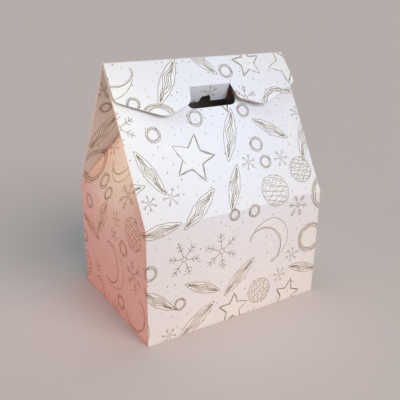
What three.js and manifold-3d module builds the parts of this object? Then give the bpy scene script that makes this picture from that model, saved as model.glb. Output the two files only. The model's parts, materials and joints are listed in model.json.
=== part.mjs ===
// A gift carton folded from one sheet of card: a square-cornered base, walls that turn in at a
// shoulder, gusseted ends, and a closing flap that comes over the ridge and locks into the hand hole.
// Millimetres, +Z up, front towards -Y, origin at the middle of the base.

import * as THREE from 'three';
import * as BufferGeometryUtils from 'three/addons/utils/BufferGeometryUtils.js';
import Module from 'manifold-3d';

// Outside sizes of the closed carton
const width = 240;
const depth = 180;
const shoulderHeight = 138.5;
const ridgeHeight = 296;

// The card, and the air between two layers of it that lie on each other
const board = 0.6;
const layerGap = 0.4;

// Corners of the hand hole, which is cut through the front and the rear panel
const handHoleTopRadius = 6;
const handHoleBottomRadius = 8.5;

// Closing flap: its outline is measured down from the ridge fold
const flapSideInset = 0.5;
const flapCornerDrop = 43.5;
const flapCornerRadius = 6;
const flapTipOffset = 65;
const flapTipDrop = 67.5;
const flapTipRadius = 9;
const flapInnerDrop = 62.5;
const flapInnerRadius = 5;

// Corners of joined solids closer together than this become one
const cornerMerge = 0.02;

// How far the flap stands off the front panel, in degrees, at its middle and at its two ends
const flapLiftMiddle = 7;
const flapLiftLeft = 3.5;
const flapLiftRight = 12;

// Locking tongue, hinged to the flap and pushed in through the hand hole
const tongueDrop = 35.5;
const tongueLength = 23.5;
const tongueHalfWidthAtFold = 27;
const tongueHalfWidthAtEnd = 30;
const tongueCornerRadius = 2.5;
const tongueCutGap = 0.4;
const tongueFoldedIn = 66;
const tongueFoldedFully = 76;
const thumbNotchRadius = 8;
const thumbNotchDepth = 9.5;

// Air around the tongue in the hand hole: above its crease, past its end and at its sides
const tongueFoldClearance = 4;
const tongueEndClearance = 0.5;
const tongueSideClearance = 2.5;

// Snap-lock base: rear flap inside, two side flaps below it, front flap outside with its lock tab
const baseRampLength = 7;
const baseEndGap = 0.6;
const baseRearReach = 106;
const baseRearEndTaper = 9;
const baseSideReach = 62;
const baseSideTaper = 44;
const baseFrontReach = 88;
const baseFrontTaper = 14;
const lockTabHalfWidth = 44;
const lockTabLength = 30;
const lockTabRampLength = 9;
const lockTabRadius = 12;
const lockTabSideClearance = 8;
const lockTabEndClearance = 9;

// Glued seam inside the rear left corner
const seamWidth = 15;
const seamEndGap = 5;
const seamTaper = 6;

// The cut top edges of the front panel and of the gussets stop short of the ridge fold
const frontPanelTopGap = 3;
const gussetTopGap = 4;

const curveSteps = 7;
const lobeColumnSpacing = 8;
const flapRows = 8;

const degrees = Math.PI / 180;
const roofRise = ridgeHeight - shoulderHeight;
const roofLength = Math.hypot(depth / 2, roofRise);
const roofLean = Math.atan2(depth / 2, roofRise);
const frontInset = board + layerGap;
const frontLean = roofLean + Math.asin(frontInset / roofLength);
const foldDepth = 2 * board + layerGap;
const margin = 10;
const handHoleHalfWidth = tongueHalfWidthAtEnd + tongueSideClearance;
const handHoleTop = tongueDrop - tongueFoldClearance;
const handHoleBottom = tongueDrop + tongueLength + tongueEndClearance;
const baseFrontEnd = baseFrontReach - depth / 2;
const baseRearCutHalfWidth = lockTabHalfWidth + lockTabSideClearance;
const baseRearCutTop = baseFrontEnd + lockTabRampLength + lockTabEndClearance;

const wasm = await Module();
wasm.setup();

// Solids and geometries

function solidOf(geometry) {
  const bare = geometry.clone();
  bare.deleteAttribute('normal');
  bare.deleteAttribute('uv');
  const merged = BufferGeometryUtils.mergeVertices(bare, 1e-4);
  return new wasm.Manifold(new wasm.Mesh({
    numProp: 3,
    vertProperties: new Float32Array(merged.attributes.position.array),
    triVerts: new Uint32Array(merged.index.array),
  }));
}

function geometryOf(solid) {
  const mesh = solid.getMesh();
  const geometry = new THREE.BufferGeometry();
  geometry.setAttribute('position', new THREE.BufferAttribute(new Float32Array(mesh.vertProperties), 3));
  geometry.setIndex(new THREE.BufferAttribute(new Uint32Array(mesh.triVerts), 1));
  geometry.computeVertexNormals();
  return geometry;
}

function joined(solids) {
  return solids.reduce((whole, solid) => whole.add(solid)).simplify(cornerMerge);
}

function shapeOf(points) {
  return new THREE.Shape(points.map(([x, y]) => new THREE.Vector2(x, y)));
}

function plate(shape, thickness) {
  return new THREE.ExtrudeGeometry(shape, { depth: thickness, bevelEnabled: false });
}

// A block over x, y and z ranges
function block(x, y, z) {
  const geometry = new THREE.BoxGeometry(x[1] - x[0], y[1] - y[0], z[1] - z[0]);
  geometry.translate((x[0] + x[1]) / 2, (y[0] + y[1]) / 2, (z[0] + z[1]) / 2);
  return solidOf(geometry);
}

// A profile in the YZ plane, run along X from x0 to x1
function runAlongX(profile, x0, x1) {
  const geometry = plate(shapeOf(profile), x1 - x0);
  geometry.applyMatrix4(new THREE.Matrix4().set(0, 0, 1, x0, 1, 0, 0, 0, 0, 1, 0, 0, 0, 0, 0, 1));
  return solidOf(geometry);
}

// A profile in the XZ plane, run along Y from y0 to y1
function runAlongY(profile, y0, y1) {
  const geometry = plate(shapeOf(profile), y1 - y0);
  geometry.applyMatrix4(new THREE.Matrix4().set(1, 0, 0, 0, 0, 0, -1, y1, 0, 1, 0, 0, 0, 0, 0, 1));
  return solidOf(geometry);
}

// An outline in the XY plane, raised from z by one thickness of card
function layerAt(shape, z) {
  const geometry = plate(shape, board);
  geometry.translate(0, 0, z);
  return solidOf(geometry);
}

// Turns a polyline's inner corners into short curves. Each corner is [x, y, radius].
function rounded(corners) {
  const path = [];
  corners.forEach(([x, y, radius], i) => {
    const corner = new THREE.Vector2(x, y);
    if (!radius) {
      path.push(corner);
      return;
    }
    const before = new THREE.Vector2(corners[i - 1][0], corners[i - 1][1]);
    const after = new THREE.Vector2(corners[i + 1][0], corners[i + 1][1]);
    const start = before.sub(corner).setLength(radius).add(corner);
    const end = after.sub(corner).setLength(radius).add(corner);
    path.push(...new THREE.QuadraticBezierCurve(start, corner, end).getPoints(curveSteps));
  });
  return path;
}

// Roof planes: a point up the slope from the shoulder, sunk below the outer face

function frontRoofPoint(up, sunk) {
  const y = -depth / 2 + up * Math.sin(frontLean) + sunk * Math.cos(frontLean);
  return [y, shoulderHeight + up * Math.cos(frontLean) - sunk * Math.sin(frontLean)];
}

function rearRoofPoint(up, sunk) {
  const y = depth / 2 - up * Math.sin(roofLean) - sunk * Math.cos(roofLean);
  return [y, shoulderHeight + up * Math.cos(roofLean) - sunk * Math.sin(roofLean)];
}

// Where the two roof planes, both sunk by the same depth, meet in the YZ plane
function roofApex(sunk) {
  const [y0, z0] = frontRoofPoint(0, sunk);
  const [y1, z1] = rearRoofPoint(0, sunk);
  const front = Math.tan(frontLean);
  const rear = Math.tan(roofLean);
  const z = (y1 - y0 + z0 * front + z1 * rear) / (front + rear);
  return [y0 + (z - z0) * front, z];
}

// The space under both roof planes, sunk by a depth, from x0 to x1
function underRoof(sunk, x0, x1) {
  return runAlongX([frontRoofPoint(-margin, sunk), rearRoofPoint(-margin, sunk), roofApex(sunk)], x0, x1);
}

// Roof panels with their hand hole

function handHole() {
  const half = handHoleHalfWidth;
  const top = rounded([
    [-half, -(handHoleTop + handHoleBottom) / 2],
    [-half, -handHoleTop, handHoleTopRadius],
    [half, -handHoleTop, handHoleTopRadius],
    [half, -(handHoleTop + handHoleBottom) / 2],
  ]);
  const bottom = rounded([
    [half, -(handHoleTop + handHoleBottom) / 2],
    [half, -handHoleBottom, handHoleBottomRadius],
    [-half, -handHoleBottom, handHoleBottomRadius],
    [-half, -(handHoleTop + handHoleBottom) / 2],
  ]);
  return new THREE.Path([...top, ...bottom.slice(1, -1)]);
}

// A roof panel drawn with y up its slope and 0 at the ridge, its outer face at z = 0
function roofPanel(topGap) {
  const shape = shapeOf([
    [-width / 2, -roofLength],
    [width / 2, -roofLength],
    [width / 2, -topGap],
    [-width / 2, -topGap],
  ]);
  shape.holes.push(handHole());
  const geometry = plate(shape, board);
  geometry.translate(0, roofLength, -board);
  return geometry;
}

// Stands a panel drawn from its shoulder on the front shoulder crease, leaning back
function leanBack(geometry, lean) {
  geometry.rotateX(Math.PI / 2 - lean);
  geometry.translate(0, -depth / 2, shoulderHeight);
  return geometry;
}

function frontRoof() {
  return solidOf(leanBack(roofPanel(frontPanelTopGap), frontLean));
}

function rearRoof() {
  const panel = solidOf(leanBack(roofPanel(0), roofLean).rotateZ(Math.PI));
  const behindRidge = block([-width, width], [layerGap / 2, depth], [0, ridgeHeight + margin]);
  return panel.intersect(behindRidge);
}

// Four walls from the ground to the shoulder

function walls() {
  const outer = block([-width / 2, width / 2], [-depth / 2, depth / 2], [0, shoulderHeight]);
  const inner = block(
    [-width / 2 + board, width / 2 - board],
    [-depth / 2 + board, depth / 2 - board],
    [-margin, shoulderHeight + margin],
  );
  return outer.subtract(inner);
}

// Gusseted ends: a triangle that leans in from the side wall, and two flanks that fold back
// against the roof panels. The sheet is what lies between two like wedges, one card apart.

function outsideGusset(sunk, xEnd) {
  const rise = ridgeHeight - shoulderHeight + margin;
  const foot = -width / 2 + sunk / Math.cos(roofLean);
  return runAlongY([
    [xEnd, shoulderHeight - margin],
    [foot - margin * Math.tan(roofLean), shoulderHeight - margin],
    [foot + rise * Math.tan(roofLean), shoulderHeight + rise],
    [xEnd, shoulderHeight + rise],
  ].reverse(), -depth, depth);
}

function leftGusset() {
  const edge = -width / 2;
  const folded = underRoof(board + layerGap, edge, 0).intersect(outsideGusset(board, edge - margin));
  const recess = underRoof(foldDepth, edge - margin, 0).intersect(outsideGusset(0, edge - 2 * margin));
  const edgeFolds = underRoof(0, edge, edge + board).subtract(underRoof(foldDepth, edge - margin, 0));
  const aboveShoulder = block([-width, 0], [-depth, depth], [shoulderHeight, ridgeHeight - gussetTopGap]);
  const belowTop = block([-width, 0], [-depth, depth], [0, ridgeHeight - gussetTopGap]);
  return joined([folded.subtract(recess).intersect(belowTop), edgeFolds.intersect(aboveShoulder)]);
}

function rightGusset() {
  return leftGusset().mirror([1, 0, 0]);
}

// Base flaps. Layer 0 is the outermost; each ramps up from its wall's foot to its layer.

function layerHeight(layer) {
  return layer * (board + layerGap);
}

function frontRamp(layer, from, length) {
  const z = layerHeight(layer);
  return [[from, 0], [from + length, z], [from + length, z + board], [from, board]];
}

function rearBaseFlap() {
  const z = layerHeight(2);
  const half = width / 2 - board - baseEndGap;
  const edge = depth / 2;
  const end = edge - baseRearReach;
  const outline = shapeOf([
    [-half, edge - baseRampLength],
    [-half + baseRearEndTaper, end],
    [-baseRearCutHalfWidth, end],
    [-baseRearCutHalfWidth + baseRearEndTaper / 2, baseRearCutTop],
    [baseRearCutHalfWidth - baseRearEndTaper / 2, baseRearCutTop],
    [baseRearCutHalfWidth, end],
    [half - baseRearEndTaper, end],
    [half, edge - baseRampLength],
  ]);
  const ramp = frontRamp(2, -edge, baseRampLength).map(([y, h]) => [-y, h]);
  return joined([layerAt(outline, z), runAlongX(ramp.reverse(), -half, half)]);
}

function leftBaseFlap() {
  const z = layerHeight(1);
  const half = depth / 2 - board - baseEndGap;
  const edge = -width / 2;
  const outline = shapeOf([
    [edge + baseRampLength, -half],
    [edge + baseSideReach, -half + baseSideTaper],
    [edge + baseSideReach, half - baseSideTaper],
    [edge + baseRampLength, half],
  ]);
  const ramp = frontRamp(1, edge, baseRampLength);
  return joined([layerAt(outline, z), runAlongY(ramp, -half, half)]);
}

function rightBaseFlap() {
  return leftBaseFlap().mirror([1, 0, 0]);
}

function frontBaseFlap() {
  const half = width / 2 - board - baseEndGap;
  const edge = -depth / 2;
  const end = baseFrontEnd;
  const outline = shapeOf([
    [-half, edge],
    [half, edge],
    [half - baseFrontTaper, end],
    [-half + baseFrontTaper, end],
  ]);
  const tabStart = end + lockTabRampLength;
  const tab = new THREE.Shape(rounded([
    [-lockTabHalfWidth, tabStart],
    [lockTabHalfWidth, tabStart],
    [lockTabHalfWidth, end + lockTabLength, lockTabRadius],
    [-lockTabHalfWidth, end + lockTabLength, lockTabRadius],
    [-lockTabHalfWidth, tabStart],
  ]).slice(0, -1));
  const ramp = frontRamp(3, end, lockTabRampLength);
  return joined([
    layerAt(outline, 0),
    runAlongX(ramp, -lockTabHalfWidth, lockTabHalfWidth),
    layerAt(tab, layerHeight(3)),
  ]);
}

// The seam strip is glued to the rear wall's inner face
function seam() {
  const wallFace = depth / 2 - board;
  const inner = -width / 2 + board;
  const low = layerHeight(3) + board + seamEndGap;
  const high = shoulderHeight - seamEndGap;
  return runAlongY([
    [inner, low],
    [inner + seamWidth, low + seamTaper],
    [inner + seamWidth, high - seamTaper],
    [inner, high],
  ], wallFace - board, wallFace + board / 2);
}

function carton() {
  return joined([
    walls(),
    frontRoof(),
    rearRoof(),
    leftGusset(),
    rightGusset(),
    rearBaseFlap(),
    leftBaseFlap(),
    rightBaseFlap(),
    frontBaseFlap(),
    seam(),
  ]);
}

// Closing flap

const flapHalfWidth = width / 2 - flapSideInset;
const cutAtFold = tongueHalfWidthAtFold + tongueCutGap;
const cutAtEnd = tongueHalfWidthAtEnd + tongueCutGap;
const flapLeanMiddle = roofLean + flapLiftMiddle * degrees;
const tongueBevel = board * Math.tan(tongueFoldedFully * degrees / 2) + layerGap / 2;

// Lift of the flap at a place across it: even between the tongue's cuts, then easing to each end
function flapLift(x) {
  const share = THREE.MathUtils.smoothstep(Math.abs(x), cutAtEnd, flapHalfWidth);
  const end = x < 0 ? flapLiftLeft : flapLiftRight;
  return (flapLiftMiddle + (end - flapLiftMiddle) * share) * degrees;
}

// A point across the flap, down it from the ridge fold, and sunk below its outer face
function flapPoint(x, down, sunk) {
  const lean = roofLean + flapLift(x);
  const y = -down * Math.sin(lean) + sunk * Math.cos(lean);
  return new THREE.Vector3(x, y, ridgeHeight - down * Math.cos(lean) - sunk * Math.sin(lean));
}

// The flap's free edge from left to right, with the tongue's fold line in the middle
function flapEdge() {
  const right = rounded([
    [cutAtFold, tongueDrop],
    [cutAtEnd, flapInnerDrop, flapInnerRadius],
    [flapTipOffset, flapTipDrop, flapTipRadius],
    [flapHalfWidth, flapCornerDrop, flapCornerRadius],
    [flapHalfWidth, flapCornerDrop - 2 * flapCornerRadius],
  ]).slice(0, -1);
  const left = right.map(({ x, y }) => new THREE.Vector2(-x, y)).reverse();
  const edge = [...left, ...right];
  return edge.flatMap((point, i) => {
    const next = edge[i + 1];
    const steps = next ? Math.max(1, Math.ceil((next.x - point.x) / lobeColumnSpacing)) : 1;
    return Array.from({ length: steps }, (_, k) => (k ? point.clone().lerp(next, k / steps) : point));
  });
}

// A closed sheet between the ridge fold and the free edge, built column by column
function closingFlap() {
  const edge = flapEdge();
  const positions = [];
  const faces = [];
  const sideSize = edge.length * (flapRows + 1);
  const lean = flapLeanMiddle;
  [0, board].forEach((sunk) => edge.forEach((end) => {
    const top = (layerGap / 2 + sunk * Math.cos(lean)) / Math.sin(lean);
    const folds = Math.abs(end.x) <= cutAtFold + layerGap / 10;
    const bevel = folds ? layerGap / 2 + (sunk / board) * (tongueBevel - layerGap / 2) : 0;
    for (let row = 0; row <= flapRows; row += 1) {
      const down = top + (end.y - bevel - top) * (row / flapRows);
      positions.push(...flapPoint(end.x, down, sunk).toArray());
    }
  }));
  const at = (side, column, row) => side * sideSize + column * (flapRows + 1) + row;
  const quad = (a, b, c, d) => faces.push(a, b, c, a, c, d);
  for (let c = 0; c < edge.length - 1; c += 1) {
    for (let r = 0; r < flapRows; r += 1) {
      quad(at(0, c, r), at(0, c, r + 1), at(0, c + 1, r + 1), at(0, c + 1, r));
      quad(at(1, c, r), at(1, c + 1, r), at(1, c + 1, r + 1), at(1, c, r + 1));
    }
    quad(at(0, c, 0), at(0, c + 1, 0), at(1, c + 1, 0), at(1, c, 0));
    quad(at(0, c, flapRows), at(1, c, flapRows), at(1, c + 1, flapRows), at(0, c + 1, flapRows));
  }
  const last = edge.length - 1;
  for (let r = 0; r < flapRows; r += 1) {
    quad(at(0, 0, r), at(1, 0, r), at(1, 0, r + 1), at(0, 0, r + 1));
    quad(at(0, last, r), at(0, last, r + 1), at(1, last, r + 1), at(1, last, r));
  }
  const geometry = new THREE.BufferGeometry();
  geometry.setAttribute('position', new THREE.Float32BufferAttribute(positions, 3));
  geometry.setIndex(faces);
  return solidOf(geometry);
}

// Locking tongue, drawn flat with its fold on the X axis, then folded in and hung on the flap

function lockingTongue() {
  const half = thumbNotchRadius;
  const notch = new THREE.EllipseCurve(0, -tongueLength, half, thumbNotchDepth, 0, Math.PI, false)
    .getPoints(2 * curveSteps);
  const outline = rounded([
    [-tongueHalfWidthAtFold, 0],
    [-tongueHalfWidthAtEnd, -tongueLength, tongueCornerRadius],
    [-half, -tongueLength],
  ]).slice(0, -1);
  const mirrored = outline.map(({ x, y }) => new THREE.Vector2(-x, y)).reverse();
  const shape = new THREE.Shape([...outline, ...notch.reverse(), ...mirrored]);
  const geometry = plate(shape, board);
  geometry.translate(0, 0, -board);
  const bevelled = runAlongX([
    [-layerGap / 2, margin],
    [-tongueLength - margin, margin],
    [-tongueLength - margin, -board - margin],
    [-tongueBevel, -board - margin],
    [-tongueBevel, -board],
    [-layerGap / 2, 0],
  ], -width, width);
  const tongue = geometryOf(solidOf(geometry).intersect(bevelled));
  const fold = flapPoint(0, tongueDrop, 0);
  tongue.rotateX(Math.PI / 2 - flapLeanMiddle + tongueFoldedIn * degrees);
  tongue.translate(fold.x, fold.y, fold.z);
  return tongue;
}

// The model

function card(name, colour, geometry) {
  const material = new THREE.MeshStandardMaterial({ color: colour, roughness: 0.55, metalness: 0 });
  const mesh = new THREE.Mesh(geometry, material);
  mesh.name = name;
  return mesh;
}

const giftBox = new THREE.Group();
giftBox.add(card('carton', 0xf1eceb, geometryOf(carton())));
giftBox.add(card('closing_flap', 0xeef0f4, geometryOf(closingFlap())));
giftBox.add(card('locking_tongue', 0xdfe0e6, lockingTongue()));

export default giftBox;
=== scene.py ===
"""A gift carton folded from one sheet of white card, printed with golden brown line drawings."""

import json
import logging
import math
import random
from collections.abc import Callable, Iterable
from dataclasses import dataclass, field
from enum import Enum
from functools import partial

import bmesh
import bpy
from mathutils import Matrix, Vector
from mathutils.geometry import tessellate_polygon

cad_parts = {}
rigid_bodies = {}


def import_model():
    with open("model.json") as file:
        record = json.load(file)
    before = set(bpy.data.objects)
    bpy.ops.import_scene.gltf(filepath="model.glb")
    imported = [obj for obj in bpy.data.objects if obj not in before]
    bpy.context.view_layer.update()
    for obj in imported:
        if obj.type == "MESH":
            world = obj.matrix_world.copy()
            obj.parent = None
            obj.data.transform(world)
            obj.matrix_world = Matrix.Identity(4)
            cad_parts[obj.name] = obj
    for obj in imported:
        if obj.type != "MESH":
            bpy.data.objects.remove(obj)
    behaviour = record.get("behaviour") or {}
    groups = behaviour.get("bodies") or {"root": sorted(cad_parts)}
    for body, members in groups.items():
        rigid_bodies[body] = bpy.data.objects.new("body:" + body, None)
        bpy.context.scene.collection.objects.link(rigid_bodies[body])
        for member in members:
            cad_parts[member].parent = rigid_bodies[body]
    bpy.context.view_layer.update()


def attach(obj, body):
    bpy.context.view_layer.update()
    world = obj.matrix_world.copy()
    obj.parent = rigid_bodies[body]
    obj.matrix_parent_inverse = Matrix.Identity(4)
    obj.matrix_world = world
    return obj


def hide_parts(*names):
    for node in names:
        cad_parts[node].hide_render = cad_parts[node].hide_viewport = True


# A point of a flat drawing, an outline of such points, and a way to fold the sheet's u and v and
# a height over the card into a place in millimetres.
Point2 = tuple[float, float]
Polygon = list[Point2]
Place = Callable[[float, float, float], Vector]

# Metres in a millimetre, and a length in millimetres that counts as none.
MM = 0.001
TINY = 1e-6
LOG = logging.getLogger("gift_box")


def linear(hex_colour: str) -> tuple[float, float, float, float]:
    """Turn an sRGB hex colour into linear light.

    Args:
        hex_colour: Six hex digits, with or without a leading hash.

    Returns:
        Red, green, blue and alpha in linear light.
    """
    digits = hex_colour.lstrip("#")
    parts = [int(digits[i:i + 2], 16) / 255 for i in (0, 2, 4)]
    light = [c / 12.92 if c <= 0.04045 else ((c + 0.055) / 1.055) ** 2.4 for c in parts]
    return (light[0], light[1], light[2], 1.0)


def add_node(
    tree: bpy.types.NodeTree, kind: str, settings: dict | None = None, links: dict | None = None
) -> bpy.types.Node:
    """Add one node with its settings and its incoming links.

    Args:
        tree: The node tree that gets the node.
        kind: Blender's name of the node type.
        settings: Property names, or input sockets by name or number, with their values.
        links: Input sockets by name or number, with the output sockets that feed them.

    Returns:
        The new node.
    """
    node = tree.nodes.new(kind)
    for key, value in (settings or {}).items():
        if isinstance(key, str) and hasattr(node, key):
            setattr(node, key, value)
        else:
            node.inputs[key].default_value = value
    for key, source in (links or {}).items():
        tree.links.new(source, node.inputs[key])
    return node


def blank_material(name: str) -> tuple[bpy.types.Material, bpy.types.NodeTree, bpy.types.Node]:
    """Start a material.

    Args:
        name: The material's name.

    Returns:
        The material, its node tree and its shader.
    """
    material = bpy.data.materials.new(name)
    material.use_nodes = True
    tree = material.node_tree
    return material, tree, tree.nodes["Principled BSDF"]


class CardFace(Enum):
    """The three faces that a piece of folding card shows, in the order of its material slots."""

    COATED = 0
    PLAIN = 1
    CUT = 2


@dataclass(frozen=True)
class CardFinish:
    """Folding card: a clay-coated, smooth outer face or an uncoated, fibrous inner face.

    Coating fills the fibres, so that face is whiter and has a low sheen. The inner face and
    the cut edges scatter light fully and show the fibres as a faint mottle. The fibres are
    drawn a few times coarser than real ones, so that they show.
    """

    name: str
    light_tone: str
    dark_tone: str
    roughness: float
    specular: float
    mottle_mm: float
    fibre_mm: float
    relief_mm: float
    roughness_play: float = 0.06
    bump: float = 0.35

    def make(self) -> bpy.types.Material:
        """Build the card's material.

        Returns:
            The material, with its pattern on Object coordinates.
        """
        material, tree, shader = blank_material(self.name)
        place = add_node(tree, "ShaderNodeTexCoord").outputs["Object"]
        mottle = add_node(
            tree, "ShaderNodeTexNoise",
            {"Scale": 1 / (self.mottle_mm * MM), "Detail": 3.0, "Roughness": 0.6}, {"Vector": place},
        )
        fibre = add_node(
            tree, "ShaderNodeTexNoise",
            {"Scale": 1 / (self.fibre_mm * MM), "Detail": 4.0, "Roughness": 0.7, "Distortion": 0.6},
            {"Vector": place},
        ).outputs["Fac"]
        tone = add_node(
            tree, "ShaderNodeMix",
            {"data_type": "RGBA", 6: linear(self.dark_tone), 7: linear(self.light_tone)},
            {"Factor": mottle.outputs["Fac"]},
        )
        play = self.roughness_play
        rough = add_node(
            tree, "ShaderNodeMapRange",
            {"To Min": self.roughness - play, "To Max": self.roughness + play}, {"Value": fibre},
        )
        relief = add_node(
            tree, "ShaderNodeBump", {"Strength": self.bump, "Distance": self.relief_mm * MM},
            {"Height": fibre},
        )
        tree.links.new(tone.outputs[2], shader.inputs["Base Color"])
        tree.links.new(rough.outputs["Result"], shader.inputs["Roughness"])
        tree.links.new(relief.outputs["Normal"], shader.inputs["Normal"])
        shader.inputs["Specular IOR Level"].default_value = self.specular
        return material


@dataclass(frozen=True)
class InkFinish:
    """Printing ink laid flat on coated card: thin strokes that cover unevenly, as a dry brush does."""

    name: str
    full_tone: str
    thin_tone: str
    patch_mm: float
    roughness: float
    full_at: float = 0.38
    thin_at: float = 0.68

    def make(self) -> bpy.types.Material:
        """Build the ink's material.

        Returns:
            The material, whose tone varies along the strokes.
        """
        material, tree, shader = blank_material(self.name)
        place = add_node(tree, "ShaderNodeTexCoord").outputs["Object"]
        patch = add_node(
            tree, "ShaderNodeTexNoise",
            {"Scale": 1 / (self.patch_mm * MM), "Detail": 5.0, "Roughness": 0.75}, {"Vector": place},
        )
        ramp = add_node(tree, "ShaderNodeValToRGB", None, {"Fac": patch.outputs["Fac"]})
        full, thin = ramp.color_ramp.elements
        full.position, full.color = self.full_at, linear(self.full_tone)
        thin.position, thin.color = self.thin_at, linear(self.thin_tone)
        tree.links.new(ramp.outputs["Color"], shader.inputs["Base Color"])
        shader.inputs["Roughness"].default_value = self.roughness
        return material


@dataclass(frozen=True)
class FloorFinish:
    """A plain pale studio surface, painted matte."""

    name: str
    tone: str
    roughness: float = 0.95

    def make(self) -> bpy.types.Material:
        """Build the floor's material.

        Returns:
            The material, which has no gloss.
        """
        material, _, shader = blank_material(self.name)
        shader.inputs["Base Color"].default_value = linear(self.tone)
        shader.inputs["Roughness"].default_value = self.roughness
        shader.inputs["Specular IOR Level"].default_value = 0.0
        return material


# The printed face: clay fills its fibres, so it is white and even, with a low, broad sheen.
COATED_CARD = CardFinish(
    "folding_card_clay_coated", "#f6f5f4", "#efedeb",
    roughness=0.48, specular=0.4, mottle_mm=9.0, fibre_mm=0.7, relief_mm=0.02,
)
# The same card's bare inner face: warmer, fully matte, with a faint mottle.
PLAIN_CARD = CardFinish(
    "folding_card_uncoated_inside", "#e4dfd8", "#d9d3ca",
    roughness=0.85, specular=0.25, mottle_mm=4.0, fibre_mm=0.5, relief_mm=0.04,
)
# The edge that the cutting die leaves: torn fibres, the roughest and most uneven of the three.
CUT_CARD = CardFinish(
    "folding_card_die_cut_edge", "#e9e4dc", "#d8d0c5",
    roughness=0.9, specular=0.2, mottle_mm=2.0, fibre_mm=0.3, relief_mm=0.05,
)
# Thin strokes of offset ink: dark brown where it covers, golden where the card shows through.
LINE_INK = InkFinish(
    "offset_ink_golden_brown_line", "#694f26", "#b6975c", patch_mm=3.0, roughness=0.5
)
# A tint of the same ink, so light that it hardly stands out from the coating.
WASH_INK = InkFinish("offset_ink_cream_wash", "#f4f2ec", "#f6f5f1", patch_mm=6.0, roughness=0.5)
# Matte paint without gloss, so that the floor shows nothing but a soft shadow.
STUDIO_PAINT = FloorFinish("studio_floor_matte_paint", "#e2d6d2")


@dataclass
class Box:
    """The carton's outside sizes, its card, its closing flap and tongue, in millimetres and degrees."""

    half_width: float = 120.0
    half_depth: float = 90.0
    shoulder: float = 138.5
    ridge: float = 296.0
    board: float = 0.6
    layer_gap: float = 0.4
    flap_inset: float = 0.5
    corner_drop: float = 43.5
    corner_radius: float = 6.0
    tip_offset: float = 65.0
    tip_drop: float = 67.5
    tip_radius: float = 9.0
    inner_drop: float = 55.0
    inner_spread: float = 1.5
    inner_radius: float = 7.0
    lift_middle: float = 7.0
    lift_left: float = 3.5
    lift_right: float = 12.0
    tongue_drop: float = 35.5
    tongue_length: float = 23.5
    tongue_fold_half: float = 27.0
    tongue_end_half: float = 30.0
    tongue_corner: float = 2.5
    tongue_turn: float = 66.0
    notch_radius: float = 8.0
    notch_depth: float = 9.5
    cut_gap: float = 0.4
    hole_half: float = 32.5
    hole_top: float = 31.5
    hole_bottom: float = 59.5
    hole_middle: float = 45.0
    hole_top_radius: float = 6.0
    hole_bottom_radius: float = 8.5
    front_top_gap: float = 3.0

    @property
    def slope(self) -> float:
        """Length of a roof panel from its shoulder to the ridge."""
        return math.hypot(self.half_depth, self.ridge - self.shoulder)

    @property
    def lean(self) -> float:
        """Angle of the rear roof panel from the vertical."""
        return math.atan2(self.half_depth, self.ridge - self.shoulder)

    @property
    def front_lean(self) -> float:
        """Angle of the front roof panel, which tucks one card below the ridge fold."""
        return self.lean + math.asin((self.board + self.layer_gap) / self.slope)

    @property
    def fold_depth(self) -> float:
        """Depth of two cards folded on each other."""
        return 2 * self.board + self.layer_gap

    def flap_lean(self, x: float) -> float:
        """Find the closing flap's angle from the vertical, which grows towards its right end.

        Args:
            x: The place across the flap.

        Returns:
            The angle in radians.
        """
        inner = self.tongue_end_half + self.cut_gap
        outer = self.half_width - self.flap_inset
        t = min(1.0, max(0.0, (abs(x) - inner) / (outer - inner)))
        end = self.lift_left if x < 0 else self.lift_right
        share = t * t * (3 - 2 * t)
        return self.lean + math.radians(self.lift_middle + (end - self.lift_middle) * share)


def rounded(corners: Iterable[tuple[float, ...]], steps: int = 7) -> Polygon:
    """Turn the inner corners of a line into short curves.

    Args:
        corners: Points as x, y and, where the corner is rounded, a radius.
        steps: Points in each curve.

    Returns:
        The line's points.
    """
    given = list(corners)
    path: Polygon = []
    for i, corner in enumerate(given):
        if len(corner) < 3:
            path.append((corner[0], corner[1]))
            continue
        at = Vector(corner[:2])
        start = at + (Vector(given[i - 1][:2]) - at).normalized() * corner[2]
        end = at + (Vector(given[i + 1][:2]) - at).normalized() * corner[2]
        for k in range(steps + 1):
            t = k / steps
            p = start * (1 - t) ** 2 + at * 2 * t * (1 - t) + end * t * t
            path.append((p.x, p.y))
    return path


def clip(shape: Polygon, cell: Polygon) -> Polygon:
    """Cut a polygon down to what lies inside a convex cell whose corners turn left.

    Args:
        shape: The polygon to cut.
        cell: The convex cell.

    Returns:
        The part of the polygon inside the cell, or an empty list.
    """
    kept = shape
    for i, a in enumerate(cell):
        b = cell[(i + 1) % len(cell)]
        edge = (b[0] - a[0], b[1] - a[1])
        sides = [edge[0] * (p[1] - a[1]) - edge[1] * (p[0] - a[0]) for p in kept]
        out: Polygon = []
        for j, p in enumerate(kept):
            k = (j + 1) % len(kept)
            q = kept[k]
            if sides[j] >= 0:
                out.append(p)
            if (sides[j] >= 0) != (sides[k] >= 0):
                t = sides[j] / (sides[j] - sides[k])
                out.append((p[0] + (q[0] - p[0]) * t, p[1] + (q[1] - p[1]) * t))
        kept = out
        if len(kept) < 3:
            return []
    return kept


def columns(low: Polygon, high: Polygon) -> list[Polygon]:
    """Split the strip between two lines with the same x places into convex cells."""
    return [
        [low[i], low[i + 1], high[i + 1], high[i]]
        for i in range(len(low) - 1)
        if low[i + 1][0] - low[i][0] > TINY
    ]


def mesh_object(
    name: str, points: list[Vector], faces: list[tuple[int, ...]], materials: list[bpy.types.Material]
) -> bpy.types.Object:
    """Make a mesh object at the origin from points in metres.

    Args:
        name: The piece's name.
        points: Its corners, in the row frame.
        faces: Corner numbers of each face.
        materials: Its material slots.

    Returns:
        The object, linked to the scene.
    """
    mesh = bpy.data.meshes.new(name)
    mesh.from_pydata(points, [], faces)
    mesh.validate()
    for material in materials:
        mesh.materials.append(material)
    piece = bpy.data.objects.new(name, mesh)
    bpy.context.scene.collection.objects.link(piece)
    return piece


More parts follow.
